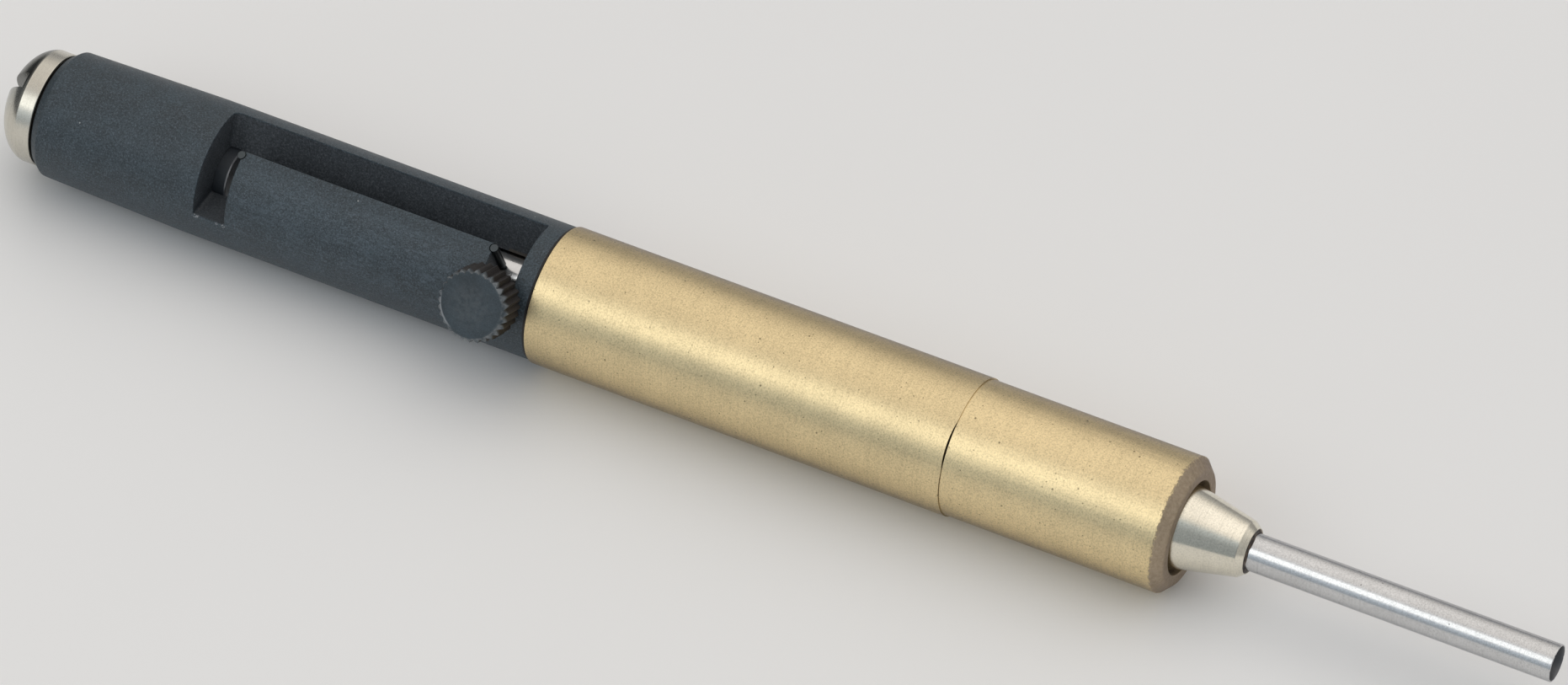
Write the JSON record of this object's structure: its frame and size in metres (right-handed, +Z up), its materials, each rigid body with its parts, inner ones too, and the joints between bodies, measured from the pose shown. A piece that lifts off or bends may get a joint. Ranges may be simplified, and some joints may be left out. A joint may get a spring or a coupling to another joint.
{
  "type": "desoldering pump",
  "caption": "Slim metal desoldering pump with a slotted bolt-action housing, a knurled thumb knob, a gold barrel and nose, and a thin steel suction tube.",
  "frame": {"origin": "middle of the floor of the rear cap's screwdriver slot, on the tool axis", "axes": "+X along the tool axis towards the suction tip; +Z up, with the tool lying on its barrel and the long slot on top; the thumb knob leans towards -Y"},
  "size_m": [0.1778, 0.0194, 0.0163],
  "materials": {
    "black_housing": "matte slate-black machined acetal with a fine grain and light scuffs",
    "black_knob": "matte slate black with a fine straight knurl",
    "satin_gold_barrel": "gold anodised, brushed round, satin",
    "satin_gold_nose": "gold anodised, brushed round, satin, with a worn front edge",
    "nickel_cap": "nickel plated, soft polish",
    "nickel_cone": "nickel plated, fine turning marks",
    "stainless_tube": "drawn stainless tube with fine marks",
    "stainless_steel": "ground stainless steel",
    "spring_steel": "drawn spring wire",
    "dark_steel": "dull dark steel",
    "brass": "turned brass",
    "black_rubber": "matte nitrile rubber",
    "dark_liner": "smooth black polymer liner",
    "dark_washer": "thin black washer",
    "tube_sealant": "dark cured sealant with an uneven edge"
  },
  "bodies": {
    "body": {"slotted_housing": "black_housing", "rear_cap": "nickel_cap", "cap_washer": "dark_washer", "guide_liner": "dark_liner", "buffer_pad": "black_rubber", "front_notch_pin": "dark_steel", "rear_notch_pin": "dark_steel", "barrel": "satin_gold_barrel", "rod_guide_bush": "brass", "nose_gasket": "black_rubber", "main_spring": "spring_steel"},
    "plunger": {"piston": "brass", "piston_ring": "black_rubber", "spring_seat": "stainless_steel"},
    "bolt": {"piston_rod": "stainless_steel", "rod_clip": "spring_steel", "cleaning_pin": "stainless_steel", "thumb_knob": "black_knob", "knob_stud": "stainless_steel"},
    "nose": {"nose_sleeve": "satin_gold_nose", "nozzle_cone": "nickel_cone", "nozzle_tube": "stainless_tube", "tube_sealant": "tube_sealant", "nozzle_o_ring": "black_rubber", "nozzle_retainer": "brass"}
  },
  "joints": [
    {"name": "plunger_stroke", "type": "slide", "parent": "body", "child": "plunger", "axis": [1, 0, 0], "range_m": [-0.0323, 0], "deforming": ["main_spring"]},
    {"name": "bolt_turn", "type": "hinge", "parent": "plunger", "child": "bolt", "pos_m": [0, 0, 0], "axis": [1, 0, 0], "range_deg": [-63, 6]},
    {"name": "nose_unscrew", "type": "slide", "parent": "body", "child": "nose", "axis": [1, 0, 0], "range_m": [0, 0.06]}
  ]
}
